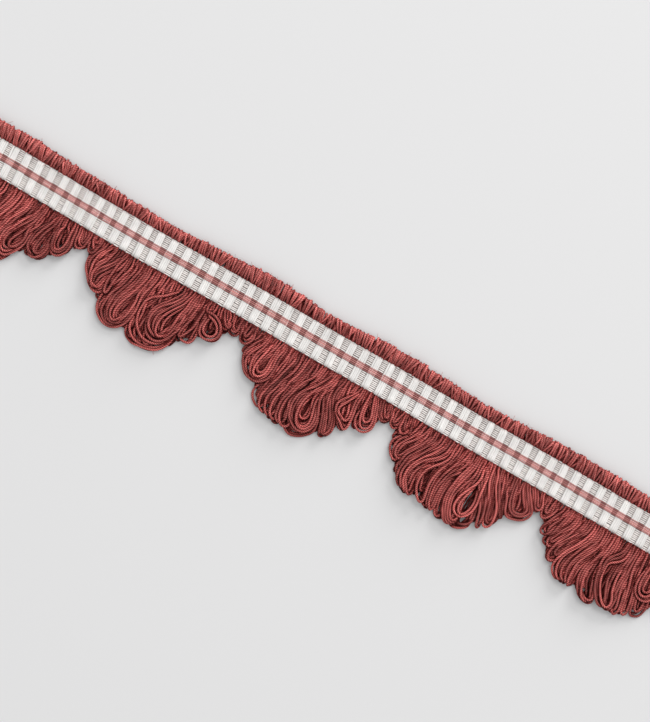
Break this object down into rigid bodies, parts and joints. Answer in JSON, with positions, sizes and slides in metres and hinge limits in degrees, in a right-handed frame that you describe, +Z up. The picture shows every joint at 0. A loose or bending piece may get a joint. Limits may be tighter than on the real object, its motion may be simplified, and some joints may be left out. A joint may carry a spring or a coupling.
{
  "type": "cut length of woven braid trim with a scalloped looped fringe",
  "caption": "Flat length of ribbed woven braid with a looped heading on one edge and a scalloped fringe of yarn loops on the other.",
  "frame": {"origin": "on the surface that the trim lies on, under the middle of its overall length and width", "axes": "+X along the trim, +Y across it from the fringe towards the looped heading, +Z up out of its face"},
  "size_m": [0.3132, 0.0458, 0.0032],
  "materials": {
    "white_cotton": "matt ribbed weave of white cotton with a terracotta stripe along its middle",
    "terracotta_yarn": "matt twisted cotton yarn"
  },
  "bodies": {
    "root": {"woven_band": "white_cotton", "looped_heading": "terracotta_yarn", "scallop_1": "terracotta_yarn", "scallop_2": "terracotta_yarn", "scallop_3": "terracotta_yarn", "scallop_4": "terracotta_yarn", "scallop_5": "terracotta_yarn"}
  },
  "joints": []
}
